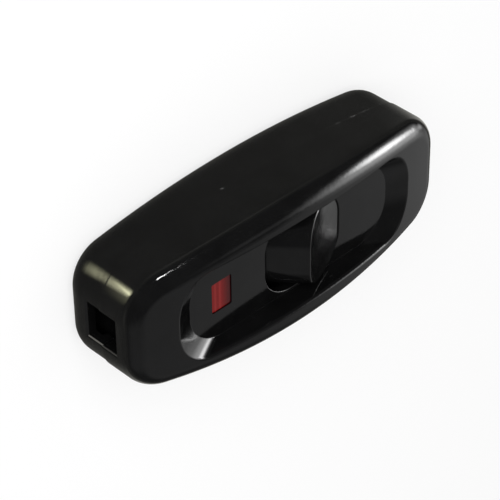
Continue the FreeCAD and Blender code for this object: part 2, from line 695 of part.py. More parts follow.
def load_strip():
    """The outgoing strip, from the fixed contact to its pillar, with a side tab for the lamp lead."""
    half = STRIP_WIDTH / 2
    start = FIXED_X - CONTACT_RADIUS - SHEET
    strip = block(start, LOAD_PILLAR_X + PILLAR / 2, -half, half, SEAT_Z, STRIP_TOP)
    tab_y = LOAD_LEAD_Y + TAB_WIDTH / 2
    tab = block(LOAD_PILLAR_X - TAB_WIDTH / 2, LOAD_PILLAR_X + TAB_WIDTH / 2, 0, tab_y, SEAT_Z, STRIP_TOP)
    hole = rod(RIVET_RADIUS, Vec(FIXED_X, 0, SEAT_Z), Vec(FIXED_X, 0, STRIP_TOP))
    return fused([strip, tab]).cut(hole)


def terminal(x_low, x_high, y, width, screw_places):
    """A brass terminal block, bored along X for the conductor and tapped from above."""
    body = block(x_low, x_high, y - width / 2, y + width / 2, STRIP_TOP, PILLAR_TOP)
    body = body.cut(rod(TERMINAL_BORE, Vec(x_low, y, TERMINAL_BORE_Z), Vec(x_high, y, TERMINAL_BORE_Z)))
    tap = SCREW_RADIUS + SCREW_GAP
    return body.cut([rod(tap, Vec(x, y, TERMINAL_BORE_Z), Vec(x, y, PILLAR_TOP)) for x in screw_places])


def pillar(x):
    """A square single terminal."""
    return terminal(x - PILLAR / 2, x + PILLAR / 2, 0, PILLAR, [x])


def neutral_block():
    """The through terminal for the unswitched conductor."""
    return terminal(NEUTRAL_START, NEUTRAL_END, NEUTRAL_Y, NEUTRAL_WIDTH, NEUTRAL_SCREWS)


def slotted_screw(head_seat, shank_length):
    """A cheese-head screw with its shank pointing down from the head's seat."""
    top = head_seat + HEAD_HEIGHT
    shank = rod(SCREW_RADIUS, Vec(0, 0, head_seat - shank_length), Vec(0, 0, head_seat))
    head = rod(HEAD_RADIUS, Vec(0, 0, head_seat), Vec(0, 0, top))
    half = SLOT_WIDTH / 2
    slot = block(-HEAD_RADIUS, HEAD_RADIUS, -half, half, top - SLOT_DEPTH, top)
    return fused([shank, head]).cut(slot)


def moved(shape, x, y, z=0.0):
    shape.translate(Vec(x, y, z))
    return shape


def terminal_screws():
    """The four terminal screws."""
    length = PILLAR_TOP - TERMINAL_BORE_Z
    places = [(LINE_PILLAR_X, 0), (LOAD_PILLAR_X, 0)] + [(x, NEUTRAL_Y) for x in NEUTRAL_SCREWS]
    return Part.makeCompound([moved(slotted_screw(PILLAR_TOP, length), x, y) for x, y in places])


def housing_screws():
    """The two screws that enter from the rear face."""
    screws = []
    for x, y in HOUSING_SCREWS:
        screw = slotted_screw(-POCKET_DEPTH, HOUSING_THREAD_TOP - POCKET_DEPTH)
        screw.rotate(ORIGIN, Vec(1, 0, 0), 180)
        screws.append(moved(screw, x, y))
    return Part.makeCompound(screws)


def cord_clamp(side):
    """A clamp bar over the cord, with a gripping rib underneath."""
    x = side * CLAMP_X
    half = CLAMP_WIDTH / 2
    reach = CLAMP_SPAN + CLAMP_BOSS
    top = CLAMP_SEAT + CLAMP_BAR
    bar = block(x - half, x + half, -reach, reach, CLAMP_SEAT, top)
    bar = bar.makeFillet(half - WALL / 2, upright_edges(bar))
    grip = INLET_WIDTH / 2
    rib = block(x - CLAMP_RIB / 2, x + CLAMP_RIB / 2, -grip, grip, CLAMP_SEAT - CLAMP_RIB_DROP, top)
    hole = SCREW_RADIUS + SCREW_PASS_GAP
    holes = [rod(hole, Vec(x, y, CLAMP_SEAT), Vec(x, y, top)) for y in (-CLAMP_SPAN, CLAMP_SPAN)]
    return fused([bar, rib]).cut(holes)


def clamp_screws():
    """The four screws of the cord clamps."""
    seat = CLAMP_SEAT + CLAMP_BAR
    length = CLAMP_BAR + THREAD_DEPTH - THREAD_END_GAP
    screws = []
    for side in BOTH_SIDES:
        for y in (-CLAMP_SPAN, CLAMP_SPAN):
            screws.append(moved(slotted_screw(seat, length), side * CLAMP_X, y))
    return Part.makeCompound(screws)


def pilot_lens():
    """The lens in its window, with a flange behind the recess floor."""
    half_x = LENS_LENGTH / 2 - LENS_GAP
    half_y = LENS_WIDTH / 2 - LENS_GAP
    pane = rounded_plug(LENS_X, half_x, half_y, LENS_CORNER, FLOOR_UNDER, FLOOR_TOP - LENS_INSET)
    half_x += LENS_FLANGE_RIM
    half_y += LENS_FLANGE_RIM
    flange = rounded_plug(LENS_X, half_x, half_y, LENS_CORNER, FLOOR_UNDER - LENS_FLANGE, FLOOR_UNDER)
    return fused([pane, flange])


def electrode_places():
    """The X places of the two electrodes and leads of the lamp."""
    return [LENS_X + side * ELECTRODE_SPACING / 2 for side in BOTH_SIDES]


def glass_envelope(radius, y_low, y_high):
    """A tube along Y with one domed end."""
    tube = rod(radius, Vec(LENS_X, y_low, LAMP_Z), Vec(LENS_X, y_high - radius, LAMP_Z))
    return tube.fuse(Part.makeSphere(radius, Vec(LENS_X, y_high - radius, LAMP_Z))).removeSplitter()


def neon_lamp():
    """The lamp's hollow glass envelope, sealed round its two electrodes."""
    half = LAMP_LENGTH / 2
    glass = glass_envelope(LAMP_RADIUS, -half, half)
    glass = glass.cut(glass_envelope(LAMP_RADIUS - LAMP_GLASS, LAMP_GLASS - half, half - LAMP_GLASS))
    seals = []
    for x in electrode_places():
        seals.append(rod(ELECTRODE_RADIUS, Vec(x, -half, LAMP_Z), Vec(x, LAMP_GLASS - half, LAMP_Z)))
    return glass.cut(seals)


def neon_electrodes():
    """The two rods side by side inside the lamp."""
    start = -LAMP_LENGTH / 2
    rods = []
    for x in electrode_places():
        rods.append(rod(ELECTRODE_RADIUS, Vec(x, start, LAMP_Z), Vec(x, start + ELECTRODE_LENGTH, LAMP_Z)))
    return Part.makeCompound(rods)


def series_resistor():
    """The lamp's resistor: a waisted body with two end caps."""
    half = RESISTOR_LENGTH / 2
    cap = half - RESISTOR_CAP_LENGTH
    profile = [(0, -half), (RESISTOR_CAP, -half), (RESISTOR_CAP, -cap), (RESISTOR_WAIST, -cap)]
    profile += [(RESISTOR_WAIST, cap), (RESISTOR_CAP, cap), (RESISTOR_CAP, half), (0, half)]
    body = turned(profile)
    body.rotate(ORIGIN, Vec(1, 0, 0), 90)
    return moved(body, RESISTOR_X, 0, RESISTOR_Z)


def bent_lead(points):
    """A round wire along straight runs joined by tangent arcs."""
    edges = []
    start = points[0]
    for index in range(1, len(points) - 1):
        corner = points[index]
        back = (points[index - 1] - corner).normalize()
        ahead = (points[index + 1] - corner).normalize()
        arc_start = corner + back * LEAD_BEND
        arc_end = corner + ahead * LEAD_BEND
        centre = arc_start + ahead * LEAD_BEND
        middle = centre + (corner - centre).normalize() * LEAD_BEND
        edges.append(line(start, arc_start))
        edges.append(Part.Arc(arc_start, middle, arc_end).toShape())
        start = arc_end
    edges.append(line(start, points[-1]))
    path = Part.Wire(edges)
    section = Part.Wire(Part.makeCircle(LEAD_RADIUS, points[0], points[1] - points[0]))
    return path.makePipeShell([section], True, False)


def neutral_lead():
    """From the lamp to the neutral block."""
    x = electrode_places()[1]
    end = NEUTRAL_START + LEAD_ENTRY
    lamp_end = -LAMP_LENGTH / 2
    return bent_lead([
        Vec(x, lamp_end, LAMP_Z),
        Vec(x, NEUTRAL_Y, LAMP_Z),
        Vec(x, NEUTRAL_Y, TERMINAL_BORE_Z),
        Vec(end, NEUTRAL_Y, TERMINAL_BORE_Z),
    ])


def link_lead():
    """From the lamp to its resistor."""
    x = electrode_places()[0]
    lamp_end = -LAMP_LENGTH / 2
    turn = lamp_end - LEAD_STAND_OFF
    return bent_lead([
        Vec(x, lamp_end, LAMP_Z),
        Vec(x, turn, LAMP_Z),
        Vec(RESISTOR_X, turn, LAMP_Z),
        Vec(RESISTOR_X, turn, RESISTOR_Z),
        Vec(RESISTOR_X, -RESISTOR_LENGTH / 2, RESISTOR_Z),
    ])


def load_lead():
    """From the resistor to the tab of the load strip."""
    return bent_lead([
        Vec(RESISTOR_X, RESISTOR_LENGTH / 2, RESISTOR_Z),
        Vec(RESISTOR_X, LOAD_LEAD_Y, RESISTOR_Z),
        Vec(LOAD_PILLAR_X, LOAD_LEAD_Y, RESISTOR_Z),
        Vec(LOAD_PILLAR_X, LOAD_LEAD_Y, STRIP_TOP),
    ])


PIECES = {
    "front_shell": front_shell(),
    "rear_shell": rear_shell(),
    "rocker": rocker(),
    "plunger": plunger(),
    "plunger_spring": plunger_spring(),
    "contact_arm": contact_arm(),
    "moving_contact": moving_contact(),
    "fixed_contact": fixed_contact(),
    "line_strip": line_strip(),
    "line_pillar": pillar(LINE_PILLAR_X),
    "load_strip": load_strip(),
    "load_pillar": pillar(LOAD_PILLAR_X),
    "neutral_block": neutral_block(),
    "terminal_screws": terminal_screws(),
    "pilot_lens": pilot_lens(),
    "neon_lamp": neon_lamp(),
    "neon_electrodes": neon_electrodes(),
    "series_resistor": series_resistor(),
    "neutral_lead": neutral_lead(),
    "link_lead": link_lead(),
    "load_lead": load_lead(),
    "cord_clamp_left": cord_clamp(-1),
    "cord_clamp_right": cord_clamp(1),
    "clamp_screws": clamp_screws(),
    "housing_screws": housing_screws(),
}

os.makedirs("parts", exist_ok=True)
for name, shape in PIECES.items():
    shape.exportStep("parts/" + name + ".step")
    print(name, len(shape.Solids), shape.isValid(), round(shape.Volume, 2))
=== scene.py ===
import json
import math

import bpy
from mathutils import Matrix, Vector


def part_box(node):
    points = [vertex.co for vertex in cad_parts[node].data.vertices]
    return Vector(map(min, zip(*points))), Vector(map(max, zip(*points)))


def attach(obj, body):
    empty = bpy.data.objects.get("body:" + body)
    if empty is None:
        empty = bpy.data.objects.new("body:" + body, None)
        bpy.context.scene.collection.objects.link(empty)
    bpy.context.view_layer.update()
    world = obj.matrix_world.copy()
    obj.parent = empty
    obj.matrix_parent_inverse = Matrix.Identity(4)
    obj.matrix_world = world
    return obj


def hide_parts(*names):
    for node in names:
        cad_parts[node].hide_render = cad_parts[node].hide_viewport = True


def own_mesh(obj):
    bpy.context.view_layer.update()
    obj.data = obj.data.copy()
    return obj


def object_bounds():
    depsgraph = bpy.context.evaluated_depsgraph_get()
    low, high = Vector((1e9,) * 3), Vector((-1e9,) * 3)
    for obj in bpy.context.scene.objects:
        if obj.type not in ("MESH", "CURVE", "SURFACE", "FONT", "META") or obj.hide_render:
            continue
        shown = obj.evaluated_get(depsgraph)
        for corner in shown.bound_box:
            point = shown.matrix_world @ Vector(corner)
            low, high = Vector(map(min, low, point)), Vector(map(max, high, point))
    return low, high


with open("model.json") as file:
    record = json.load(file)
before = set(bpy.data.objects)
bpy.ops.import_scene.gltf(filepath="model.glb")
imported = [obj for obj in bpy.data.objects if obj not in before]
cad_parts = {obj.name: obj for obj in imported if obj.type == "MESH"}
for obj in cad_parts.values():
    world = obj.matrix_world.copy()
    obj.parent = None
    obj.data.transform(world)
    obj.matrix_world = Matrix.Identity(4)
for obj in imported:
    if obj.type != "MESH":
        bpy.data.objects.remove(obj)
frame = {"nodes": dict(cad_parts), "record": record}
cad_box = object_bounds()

# The looks of an inline cord switch: finishes, a copy of the spring on the rocker, floor, light and
# camera.
# Lengths are in metres, in the part's own frame: X along the cord, Z up from the rear face.
# Angles are in degrees. A direction is given by its azimuth, from +Z towards +X, and its
# elevation, towards +Y.

MM = 0.001

# Camera: its direction, roll, distance and offsets, its near clip, and its sensor and lens in mm
CAMERA_AZIMUTH = -43.97
CAMERA_ELEVATION = 38.72
CAMERA_ROLL = -0.76
CAMERA_DISTANCE = 0.4813
CAMERA_OFFSET_RIGHT = 5.9145 * MM
CAMERA_OFFSET_UP = -8.5536 * MM
CAMERA_CLIP = 10 * MM
SENSOR = 36.0
LENS = 173.06

# The range that most of a noise lies in, and a noise that isn't stretched
NOISE_LOW = 0.3
NOISE_HIGH = 0.7
EVEN = (1, 1, 1)

# Plastics: the two shades of the black one, the usual gloss, and the refraction of the red lens
BLACK_DARK = (0.0025, 0.0025, 0.0026)
BLACK_LIGHT = (0.0038, 0.0038, 0.0039)
PLASTIC_GLOSS = 0.5
RED_PLASTIC_IOR = 1.49

# The cord inlets: how far out along X they are and half their width
MOUNTS = {mount["name"]: mount for mount in frame["record"]["mounts"]}
INLET_PLACE = MOUNTS["cord_inlet_right"]["pos_m"]
INLET_REACH = INLET_PLACE[0]
INLET_HALF_WIDTH = 4.2 * MM

# Seam between the shells, through the middle of the inlets: its height, the width of each rounded
# edge, their depth at the ends, the share of that depth along the sides, and where along X the
# ends start and are whole
SEAM_HEIGHT = INLET_PLACE[2]
SEAM_EDGE = 0.20 * MM
SEAM_DEPTH = 0.15 * MM
SEAM_SIDE_SHARE = 0.25
SEAM_END_START = INLET_REACH - 8.0 * MM
SEAM_END_WHOLE = INLET_REACH - 4.0 * MM

# Painted glints where the seam catches the light, on the side that faces +Y: the place along X, half
# length and paleness of each, half their height, their colour, and where along Y they start and are whole
SEAM_GLINTS = (
    (-9.8 * MM, 0.50 * MM, 0.80),
    (22.1 * MM, 1.10 * MM, 0.25),
    (26.4 * MM, 1.10 * MM, 0.80),
    (29.8 * MM, 1.80 * MM, 0.22),
)
GLINT_HALF_HEIGHT = 0.45 * MM
GLINT_PALE = (0.10, 0.10, 0.10)
GLINT_SIDE_START = 8.0 * MM
GLINT_SIDE_END = 9.0 * MM

# Painted highlight along the sill on the -Y edge of each cord inlet: half its width, depth and height,
# where it is along X and across the part, and how pale its front half is beside its rear half
SILL_HALF_WIDTH = 0.10 * MM
SILL_HALF_DEPTH = 0.35 * MM
SILL_HALF_HEIGHT = 4.2 * MM
SILL_REACH = INLET_REACH - 0.25 * MM
SILL_OFFSET = -(INLET_HALF_WIDTH + SILL_HALF_WIDTH)
SILL_FRONT_SHARE = 0.3
SILL_HIGHLIGHT = (0.085, 0.083, 0.076)

# Dull corner at the foot of each long wall of the recess: its half length, how far it is from
# the middle of the part, its height, and half its width and depth
CREASE_HALF_LENGTH = 21.0 * MM
CREASE_OFFSET = 9.6 * MM
CREASE_HEIGHT = 19.92 * MM
CREASE_HALF_WIDTH = 0.6 * MM
CREASE_HALF_DEPTH = 0.11 * MM

# Floor: its size, how far it lies under the part, its two shades, the size of its cloud, and the
# share of plain white that the camera sees on it
FLOOR_SIZE = 6.0
FLOOR_DROP = 0.05 * MM
FLOOR_PALE = (0.93, 0.93, 0.93)
FLOOR_PALER = (0.95, 0.95, 0.95)
FLOOR_CLOUD = 0.2
FLOOR_WHITE_SHARE = 0.7

# General light: the grey of the room, and two lamps by azimuth, elevation, distance, size and power
WORLD_GREY = 0.06
TOP_LAMP = (0, 0, 1.0, 2.4, 12.0)
FRONT_LAMP = (-44, 39, 1.2, 1.0, 18.0)

# Tints of the cards
NEUTRAL = (1.0, 1.0, 1.0)
PALE = (1.0, 0.99, 0.92)
WARM = (1.0, 0.99, 0.65)

# Dark card on the floor, seen only in the part's gloss: its height and its grey
FLAG_LIFT = 0.02 * MM
FLAG_GREY = 0.13

# Glowing cards seen only in the part's gloss: their distance, and the azimuth, elevation, half
# width and half height as seen from the part, roll, strength and share at full strength of each
CARD_DISTANCE = 0.8
CARDS = {
    "key_card": (57.3, 13.3, 17.5, 12.3, -50, 16.5, 0.1),
    "key_halo_card": (57, 6.5, 34, 24, -45, 5.0, 0.0),
    "key_side_card": (80, -2, 12, 12, 0, 2.5, 0.0),
    "key_foot_card": (55, -12, 26, 26, 0, 1.3, 0.0),
    "room_card": (70, -22, 38, 38, 0, 0.52, 0.0),
    "left_room_card": (17, -44, 34, 28, 0, 0.17, 0.2),
    "left_side_card": (-46, -42, 38, 24, 0, 0.14, 0.2),
    "table_card": (92, -32, 20, 30, 0, 0.12, 0.0),
    "sky_card": (24, -6, 16, 14, 0, 0.25, 0.0),
    "streak_card": (3.0, 67, 4.0, 2.0, 0, 75.0, 0.5),
}

# Glowing cards on the floor, seen only in the part's gloss: their height, their share at full
# strength, and the middle and size in mm, turn, strength and tint of each
FLOOR_CARD_LIFT = 0.05 * MM
FLOOR_CARD_CORE = 0.0
FLOOR_CARDS = {
    "warm_card": ((-61.5, 26.9), (54, 13), 141, 17.0, WARM),
    "warm_floor_card": ((-65, 23), (34, 28), 137, 1.6, WARM),
    "near_floor_card": ((0, -62), (190, 90), 0, 0.7, PALE),
    "far_floor_card": ((0, 100), (220, 86), 0, 0.25, PALE),
    "right_floor_card": ((88, 0), (90, 110), 0, 0.8, PALE),
    "left_floor_card": ((-124, -20), (84, 130), 0, 0.2, PALE),
}


def direction(azimuth, elevation):
    """A unit vector for an azimuth and an elevation."""
    turn = math.radians(azimuth)
    lift = math.radians(elevation)
    return Vector((math.cos(lift) * math.sin(turn), math.sin(lift), math.cos(lift) * math.cos(turn)))


def facing_axes(toward, roll):
    """Right and up axes of a plane whose normal is toward, turned by roll."""
    right = Vector((0, 1, 0)).cross(toward).normalized()
    up = toward.cross(right)
    turn = math.radians(roll)
    return (
        math.cos(turn) * right + math.sin(turn) * up,
        math.cos(turn) * up - math.sin(turn) * right,
    )


def facing_matrix(toward, roll, place):
    """A placement whose Z axis points along toward."""
    right, up = facing_axes(toward, roll)
    matrix = Matrix((right, up, toward)).transposed().to_4x4()
    matrix.translation = place
    return matrix


def linked(name, data):
    """A new object in the scene."""
    item = bpy.data.objects.new(name, data)
    bpy.context.scene.collection.objects.link(item)
    return item


class Finish:
    """A node material built step by step around one Principled shader."""

    def __init__(self, name, roughness, metallic=0.0):
        self.material = bpy.data.materials.new(name)
        self.material.use_nodes = True
        self.tree = self.material.node_tree
        self.shader = self.tree.nodes["Principled BSDF"]
        self.shader.inputs["Roughness"].default_value = roughness
        self.shader.inputs["Metallic"].default_value = metallic
        self.place = self.tree.nodes.new("ShaderNodeTexCoord").outputs["Object"]
        self.relief = None

    def node(self, kind, **settings):
        """A new node with its own settings."""
        made = self.tree.nodes.new(kind)
        for name, value in settings.items():
            setattr(made, name, value)
        return made

    def join(self, output, target):
        """A link from an output to an input."""
        self.tree.links.new(output, target)

    def coordinate(self, axis):
        """One coordinate of the point, in metres."""
        split = self.node("ShaderNodeSeparateXYZ")
        self.join(self.place, split.inputs["Vector"])
        return split.outputs[axis]

    def grain(self, size, detail=3.0, stretch=EVEN):
        """Noise with cells of the given size, longer along stretched axes."""
        spread = self.node("ShaderNodeMapping")
        spread.inputs["Scale"].default_value = [1 / (size * factor) for factor in stretch]
        noise = self.node("ShaderNodeTexNoise")
        noise.inputs["Scale"].default_value = 1.0
        noise.inputs["Detail"].default_value = detail
        self.join(self.place, spread.inputs["Vector"])
        self.join(spread.outputs["Vector"], noise.inputs["Vector"])
        return noise.outputs["Fac"]

    def ranged(self, value, first, last, start=NOISE_LOW, end=NOISE_HIGH):
        """Goes from first to last as a value goes from start to end."""
        spread = self.node("ShaderNodeMapRange")
        spread.inputs["From Min"].default_value = start
        spread.inputs["From Max"].default_value = end
        spread.inputs["To Min"].default_value = first
        spread.inputs["To Max"].default_value = last
        self.join(value, spread.inputs["Value"])
        return spread.outputs["Result"]

    def rising(self, value, start, end):
        """Zero up to start, one from end on."""
        return self.ranged(value, 0.0, 1.0, start, end)

    def falling(self, value, start, end):
        """One up to start, zero from end on."""
        return self.ranged(value, 1.0, 0.0, start, end)

    def within(self, value, middle, half):
        """One where a value lies within half of the middle, zero elsewhere."""
        test = self.node("ShaderNodeMath", operation="COMPARE")
        test.inputs[1].default_value = middle
        test.inputs[2].default_value = half
        self.join(value, test.inputs[0])
        return test.outputs[0]

    def distance_from(self, value, level):
        """How far a value is from a level."""
        apart = self.node("ShaderNodeMath", operation="SUBTRACT")
        apart.inputs[1].default_value = level
        self.join(value, apart.inputs[0])
        size = self.node("ShaderNodeMath", operation="ABSOLUTE")
        self.join(apart.outputs[0], size.inputs[0])
        return size.outputs[0]

    def product(self, first, second):
        """Two values multiplied."""
        both = self.node("ShaderNodeMath", operation="MULTIPLY")
        self.join(first, both.inputs[0])
        self.join(second, both.inputs[1])
        return both.outputs[0]

    def colour(self, value, stops):
        """Colours along a value, as (position, colour) stops."""
        ramp = self.node("ShaderNodeValToRGB")
        points = ramp.color_ramp.elements
        while len(points) < len(stops):
            points.new(0.5)
        for point, (position, colour) in zip(points, stops):
            point.position = position
            point.color = (*colour, 1.0)
        self.join(value, ramp.inputs["Fac"])
        self.join(ramp.outputs["Color"], self.shader.inputs["Base Color"])

    def shades(self, value, dark, light, start=NOISE_LOW, end=NOISE_HIGH):
        """From dark to light as a value goes from start to end."""
        self.colour(value, [(start, dark), (end, light)])

    def tint(self, value, colour):
        """The colour so far, turned towards another one by a value."""
        base = self.shader.inputs["Base Color"]
        both = self.node("ShaderNodeMixRGB")
        both.inputs["Color2"].default_value = (*colour, 1.0)
        self.join(base.links[0].from_socket, both.inputs["Color1"])
        self.join(value, both.inputs["Fac"])
        self.join(both.outputs["Color"], base)

    def roughness(self, value, smooth, dull):
        """From smooth to dull along a noise."""
        self.join(self.ranged(value, smooth, dull), self.shader.inputs["Roughness"])

    def bump(self, value, depth):
        """A fine relief of the given depth, over any relief that is there already."""
        relief = self.node("ShaderNodeBump")
        relief.inputs["Distance"].default_value = depth
        self.join(value, relief.inputs["Height"])
        if self.relief:
            self.join(self.relief, relief.inputs["Normal"])
        self.relief = relief.outputs["Normal"]
        self.join(self.relief, self.shader.inputs["Normal"])


def moulded_black(name, dark, light, smooth, dull):
    """Black plastic with a faint moulding cloud and very fine relief."""
    finish = Finish(name, smooth)
    finish.shades(finish.grain(6 * MM, detail=4.0), dark, light, start=0.35, end=0.65)
    finish.roughness(finish.grain(2.2 * MM, detail=5.0), smooth, dull)
    finish.bump(finish.grain(0.35 * MM, detail=2.0), depth=0.0006 * MM)
    return finish


def open_seam(finish):
    """A fine groove between the shells, deeper at the ends."""
    off_seam = finish.distance_from(finish.coordinate("Z"), SEAM_HEIGHT)
    groove = finish.falling(off_seam, 0.0, SEAM_EDGE)
    reach = finish.distance_from(finish.coordinate("X"), 0.0)
    opening = finish.ranged(reach, SEAM_SIDE_SHARE, 1.0, SEAM_END_START, SEAM_END_WHOLE)
    sunk = finish.product(groove, opening)
    finish.bump(finish.falling(sunk, 0.0, 1.0), SEAM_DEPTH)


def paint_seam_glints(finish):
    """Painted glints along the seam between the shells, where its edge catches the light."""
    off_seam = finish.distance_from(finish.coordinate("Z"), SEAM_HEIGHT)
    near = finish.falling(off_seam, 0.0, GLINT_HALF_HEIGHT)
    side = finish.rising(finish.coordinate("Y"), GLINT_SIDE_START, GLINT_SIDE_END)
    edge = finish.product(near, side)
    for place, half_length, paleness in SEAM_GLINTS:
        off_glint = finish.distance_from(finish.coordinate("X"), place)
        spread = finish.ranged(off_glint, paleness, 0.0, 0.0, half_length)
        # Each glint is a painted highlight, tinted into the colour
        finish.tint(finish.product(edge, spread), GLINT_PALE)


def paint_sill_highlight(finish):
    """A painted highlight along one side of each cord inlet, where its edge catches the light, paler on
    the rear shell.
    """
    height = finish.coordinate("Z")
    reach = finish.distance_from(finish.coordinate("X"), 0.0)
    deep = finish.within(reach, SILL_REACH, SILL_HALF_DEPTH)
    across = finish.within(finish.coordinate("Y"), SILL_OFFSET, SILL_HALF_WIDTH)
    along = finish.within(height, SEAM_HEIGHT, SILL_HALF_HEIGHT)
    rear_end = SEAM_HEIGHT - SEAM_EDGE
    front_start = SEAM_HEIGHT + SEAM_EDGE
    share = finish.ranged(height, 1.0, SILL_FRONT_SHARE, rear_end, front_start)
    sill = finish.product(finish.product(deep, across), finish.product(along, share))
    # The lit edge of the sill is a painted highlight, tinted into the colour
    finish.tint(sill, SILL_HIGHLIGHT)


def dull_crease(finish):
    """No gloss in the corner where a long wall of the recess meets its floor."""
    offset = finish.distance_from(finish.coordinate("Y"), 0.0)
    along = finish.within(finish.coordinate("X"), 0.0, CREASE_HALF_LENGTH)
    across = finish.within(offset, CREASE_OFFSET, CREASE_HALF_WIDTH)
    deep = finish.within(finish.coordinate("Z"), CREASE_HEIGHT, CREASE_HALF_DEPTH)
    crease = finish.product(finish.product(along, across), deep)
    gloss = finish.ranged(crease, PLASTIC_GLOSS, 0.0, 0.0, 1.0)
    finish.join(gloss, finish.shader.inputs["Specular IOR Level"])


def black_shell():
    """The shells' polished plastic, with its seam and painted glints along it, a painted highlight on the
    edges of its inlets, and the foot of its recess.
    """
    finish = moulded_black("black_shell", BLACK_DARK, BLACK_LIGHT, smooth=0.06, dull=0.13)
    open_seam(finish)
    paint_seam_glints(finish)
    paint_sill_highlight(finish)
    dull_crease(finish)
    return finish


def black_rocker():
    """The rocker's plastic, a little duller from use."""
    return moulded_black("black_rocker", BLACK_DARK, BLACK_LIGHT, smooth=0.08, dull=0.16)


def black_clamp():
    """The cord clamps' plain plastic."""
    dark = (0.012, 0.012, 0.012)
    light = (0.022, 0.022, 0.022)
    return moulded_black("black_clamp", dark, light, smooth=0.38, dull=0.55)


def red_lens():
    """Deep red plastic, lighter along two lines, with painted shade that darkens it from its lighter edge
    at low X towards high X.
    """
    finish = Finish("red_lens", 0.1)
    low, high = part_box("pilot_lens")
    edge = (0.200, 0.002, 0.001)
    body = (0.150, 0.003, 0.003)
    line = (0.215, 0.013, 0.012)
    shade = (0.085, 0.002, 0.002)
    dusk = (0.038, 0.001, 0.002)
    deep = (0.015, 0.001, 0.001)
    # The stops from shade to deep are painted shade across the lens, falling towards high X
    stops = [
        (0.00, edge), (0.14, edge), (0.22, body), (0.28, line), (0.34, body),
        (0.40, body), (0.46, line), (0.52, body), (0.68, shade), (0.84, dusk), (1.00, deep),
    ]
    finish.colour(finish.rising(finish.coordinate("X"), low.x, high.x), stops)
    finish.roughness(finish.grain(0.9 * MM), smooth=0.06, dull=0.12)
    finish.bump(finish.grain(0.5 * MM), depth=0.001 * MM)
    finish.shader.inputs["IOR"].default_value = RED_PLASTIC_IOR
    return finish


def worked_metal(name, dark, light, smooth, dull, stretch=EVEN):
    """Metal with a drawn or rolled grain."""
    finish = Finish(name, smooth, metallic=1.0)
    grain = finish.grain(0.25 * MM, detail=4.0, stretch=stretch)
    finish.shades(grain, dark, light)
    finish.roughness(grain, smooth, dull)
    finish.bump(grain, depth=0.0004 * MM)
    return finish


def spring_steel():
    """The plunger's spring."""
    dark = (0.45, 0.45, 0.46)
    light = (0.60, 0.60, 0.61)
    return worked_metal("spring_steel", dark, light, smooth=0.25, dull=0.38)


def copper_strip():
    """The contact arm, rolled along the cord."""
    dark = (0.55, 0.31, 0.17)
    light = (0.68, 0.41, 0.24)
    return worked_metal("copper_strip", dark, light, smooth=0.30, dull=0.42, stretch=(14, 1, 1))


def contact_silver():
    """The contact rivets."""
    dark = (0.74, 0.73, 0.70)
    light = (0.86, 0.85, 0.82)
    return worked_metal("contact_silver", dark, light, smooth=0.18, dull=0.30)


def brass():
    """The terminals and their strips, drawn along the cord."""
    dark = (0.64, 0.48, 0.21)
    light = (0.78, 0.60, 0.30)
    return worked_metal("brass", dark, light, smooth=0.32, dull=0.44, stretch=(8, 1, 1))


def zinc_screw():
    """The plated screws."""
    dark = (0.54, 0.54, 0.52)
    light = (0.70, 0.70, 0.68)
    return worked_metal("zinc_screw", dark, light, smooth=0.24, dull=0.40, stretch=(1, 1, 4))


def electrode_nickel():
    """The lamp's electrodes, drawn along the lamp."""
    dark = (0.52, 0.50, 0.47)
    light = (0.66, 0.64, 0.61)
    return worked_metal("electrode_nickel", dark, light, smooth=0.25, dull=0.40, stretch=(1, 8, 1))


def tinned_wire():
    """The leads of the lamp and its resistor."""
    dark = (0.62, 0.62, 0.61)
    light = (0.76, 0.76, 0.75)
    return worked_metal("tinned_wire", dark, light, smooth=0.22, dull=0.35, stretch=(6, 6, 1))


def white_nylon():
    """Milky nylon with a faint cloud."""
    finish = Finish("white_nylon", 0.4)
    finish.shades(finish.grain(1.5 * MM), dark=(0.72, 0.71, 0.66), light=(0.82, 0.81, 0.76))
    finish.roughness(finish.grain(0.6 * MM), smooth=0.35, dull=0.48)
    finish.bump(finish.grain(0.2 * MM), depth=0.002 * MM)
    return finish


def lamp_glass():
    """Clear glass with a slight waviness."""
    finish = Finish("lamp_glass", 0.02)
    finish.shades(finish.grain(2 * MM), dark=(0.90, 0.93, 0.93), light=(0.96, 0.97, 0.97))
    finish.shader.inputs["Transmission Weight"].default_value = 1.0
    finish.bump(finish.grain(1.5 * MM), depth=0.01 * MM)
    return finish


def resistor_body():
    """Tan lacquer with coloured rings between the caps."""
    finish = Finish("resistor_body", 0.4)
    low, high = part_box("series_resistor")
    tan = (0.62, 0.50, 0.33)
    red = (0.45, 0.03, 0.02)
    brown = (0.12, 0.05, 0.02)
    stops = [(0.0, tan), (0.30, red), (0.36, tan), (0.46, red), (0.52, tan), (0.62, brown), (0.68, tan)]
    finish.colour(finish.rising(finish.coordinate("Y"), low.y, high.y), stops)
    finish.roughness(finish.grain(0.5 * MM), smooth=0.30, dull=0.45)
    finish.bump(finish.grain(0.4 * MM), depth=0.004 * MM)
    return finish


FINISHES = (
    black_shell, black_rocker, red_lens, white_nylon, spring_steel, copper_strip, contact_silver,
    brass, zinc_screw, lamp_glass, electrode_nickel, resistor_body, tinned_wire, black_clamp,
)


def dress_nodes():
    """Each node takes the finish of its own slot."""
    materials = {finish.__name__: finish().material for finish in FINISHES}
    for item in frame["nodes"].values():
        slot = item.data.materials[0].name
        item.data.materials[0] = materials[slot.split(".")[0]]


def make_spring():
    """A copy of the plunger's spring, parented to the rocker's body."""
    spring = linked("spring_coil", frame["nodes"]["plunger_spring"].data.copy())
    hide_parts("plunger_spring")
    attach(spring, "rocker")
    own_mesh(spring)


def plane(name, width, height):
    """A flat rectangle in its own XY plane."""
    half_x = width / 2
    half_y = height / 2
    corners = [(-half_x, -half_y, 0), (half_x, -half_y, 0), (half_x, half_y, 0), (-half_x, half_y, 0)]
    mesh = bpy.data.meshes.new(name)
    mesh.from_pydata(corners, [], [(0, 1, 2, 3)])
    return linked(name, mesh)


